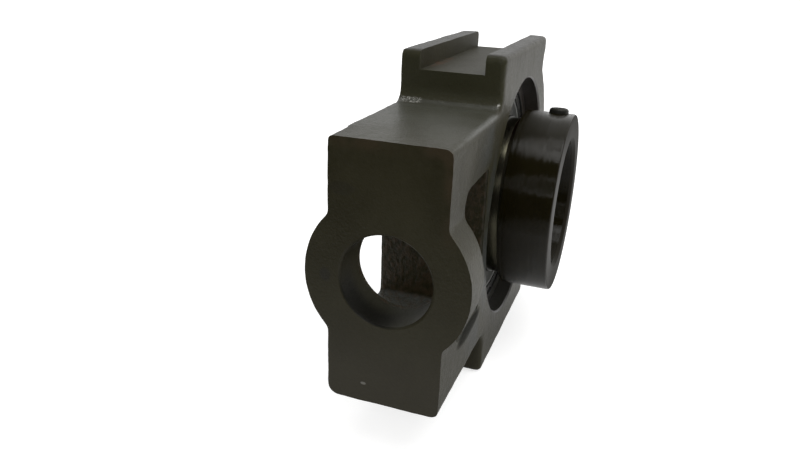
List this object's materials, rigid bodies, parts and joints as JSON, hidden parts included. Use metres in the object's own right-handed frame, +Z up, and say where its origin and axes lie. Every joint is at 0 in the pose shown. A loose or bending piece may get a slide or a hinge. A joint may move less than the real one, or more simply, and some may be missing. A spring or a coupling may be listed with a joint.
{
  "type": "take up bearing unit",
  "caption": "Cast take up housing with guide grooves, nut slot and adjusting screw boss, holding a self aligning insert bearing with an eccentric locking collar.",
  "frame": {"origin": "bearing centre on the shaft axis", "axes": "+Y along the shaft away from the collar, -X towards the adjusting screw end, +Z up between the guide rails"},
  "size_m": [0.2015, 0.0778, 0.146],
  "materials": {
    "cast_housing": "rough casting under thin dark olive grey paint",
    "ring_steel": "ground bearing steel",
    "dark_ring_steel": "ground bearing steel with black oxide",
    "black_collar": "turned steel, glossy black oxide",
    "black_screw": "black oxide",
    "ball_steel": "polished bearing steel",
    "cage_steel": "pressed sheet",
    "rivet_steel": "upset heads",
    "seal_steel": "pressed sheet, phosphated",
    "seal_rubber": "matt nitrile rubber",
    "slinger_steel": "pressed sheet",
    "nipple_plate": "yellow zinc plating",
    "spring_steel": "bright wire"
  },
  "bodies": {
    "housing": {"housing": "cast_housing", "nipple_body": "nipple_plate", "nipple_spring": "spring_steel"},
    "bearing_outer": {"outer_ring": "ring_steel", "seal_shell_front": "seal_steel", "seal_shell_back": "seal_steel", "seal_lip_front": "seal_rubber", "seal_lip_back": "seal_rubber"},
    "bearing_inner": {"inner_ring": "dark_ring_steel", "slinger_front": "slinger_steel", "slinger_back": "slinger_steel"},
    "cage": {"cage_front": "cage_steel", "cage_back": "cage_steel", "cage_rivets": "rivet_steel"},
    "collar": {"locking_collar": "black_collar"},
    "screw": {"set_screw": "black_screw"},
    "check_ball": {"nipple_ball": "ball_steel"},
    "rolling_01": {"ball_01": "ball_steel"},
    "rolling_02": {"ball_02": "ball_steel"},
    "rolling_03": {"ball_03": "ball_steel"},
    "rolling_04": {"ball_04": "ball_steel"},
    "rolling_05": {"ball_05": "ball_steel"},
    "rolling_06": {"ball_06": "ball_steel"},
    "rolling_07": {"ball_07": "ball_steel"},
    "rolling_08": {"ball_08": "ball_steel"},
    "rolling_09": {"ball_09": "ball_steel"},
    "rolling_10": {"ball_10": "ball_steel"}
  },
  "joints": [
    {"name": "bearing_align", "type": "hinge", "parent": "housing", "child": "bearing_outer", "pos_m": [0, 0, 0], "axis": [0, 0, 1], "range_deg": [-2, 2]},
    {"name": "inner_spin", "type": "hinge", "parent": "bearing_outer", "child": "bearing_inner", "pos_m": [0, 0, 0], "axis": [0, 1, 0], "continuous": true},
    {"name": "cage_orbit", "type": "hinge", "parent": "bearing_outer", "child": "cage", "pos_m": [0, 0, 0], "axis": [0, 1, 0], "continuous": true},
    {"name": "ball_spin_01", "type": "hinge", "parent": "cage", "child": "rolling_01", "pos_m": [0.0425, 0, 0], "axis": [0, 1, 0], "continuous": true},
    {"name": "ball_spin_02", "type": "hinge", "parent": "cage", "child": "rolling_02", "pos_m": [0.03438, 0, 0.02498], "axis": [0, 1, 0], "continuous": true},
    {"name": "ball_spin_03", "type": "hinge", "parent": "cage", "child": "rolling_03", "pos_m": [0.01313, 0, 0.04042], "axis": [0, 1, 0], "continuous": true},
    {"name": "ball_spin_04", "type": "hinge", "parent": "cage", "child": "rolling_04", "pos_m": [-0.01313, 0, 0.04042], "axis": [0, 1, 0], "continuous": true},
    {"name": "ball_spin_05", "type": "hinge", "parent": "cage", "child": "rolling_05", "pos_m": [-0.03438, 0, 0.02498], "axis": [0, 1, 0], "continuous": true},
    {"name": "ball_spin_06", "type": "hinge", "parent": "cage", "child": "rolling_06", "pos_m": [-0.0425, 0, 0], "axis": [0, 1, 0], "continuous": true},
    {"name": "ball_spin_07", "type": "hinge", "parent": "cage", "child": "rolling_07", "pos_m": [-0.03438, 0, -0.02498], "axis": [0, 1, 0], "continuous": true},
    {"name": "ball_spin_08", "type": "hinge", "parent": "cage", "child": "rolling_08", "pos_m": [-0.01313, 0, -0.04042], "axis": [0, 1, 0], "continuous": true},
    {"name": "ball_spin_09", "type": "hinge", "parent": "cage", "child": "rolling_09", "pos_m": [0.01313, 0, -0.04042], "axis": [0, 1, 0], "continuous": true},
    {"name": "ball_spin_10", "type": "hinge", "parent": "cage", "child": "rolling_10", "pos_m": [0.03438, 0, -0.02498], "axis": [0, 1, 0], "continuous": true},
    {"name": "collar_lock", "type": "hinge", "parent": "bearing_inner", "child": "collar", "pos_m": [0, 0, 0], "axis": [0, 1, 0], "range_deg": [-16, 16]},
    {"name": "set_screw_travel", "type": "slide", "parent": "collar", "child": "screw", "axis": [0.1045, 0, 0.9945], "range_m": [-0.0009, 0.006]},
    {"name": "check_ball_press", "type": "slide", "parent": "housing", "child": "check_ball", "axis": [1, 0, 0], "range_m": [-0.0008, 0], "stiffness_N_per_m": 200, "springref_m": 0.001, "deforming": ["nipple_spring"]}
  ],
  "couplings": [
    {"joint": "cage_orbit", "follows": "inner_spin", "ratio": 0.40662},
    {"joint": "ball_spin_01", "follows": "inner_spin", "ratio": -2.5838},
    {"joint": "ball_spin_02", "follows": "inner_spin", "ratio": -2.5838},
    {"joint": "ball_spin_03", "follows": "inner_spin", "ratio": -2.5838},
    {"joint": "ball_spin_04", "follows": "inner_spin", "ratio": -2.5838},
    {"joint": "ball_spin_05", "follows": "inner_spin", "ratio": -2.5838},
    {"joint": "ball_spin_06", "follows": "inner_spin", "ratio": -2.5838},
    {"joint": "ball_spin_07", "follows": "inner_spin", "ratio": -2.5838},
    {"joint": "ball_spin_08", "follows": "inner_spin", "ratio": -2.5838},
    {"joint": "ball_spin_09", "follows": "inner_spin", "ratio": -2.5838},
    {"joint": "ball_spin_10", "follows": "inner_spin", "ratio": -2.5838}
  ]
}
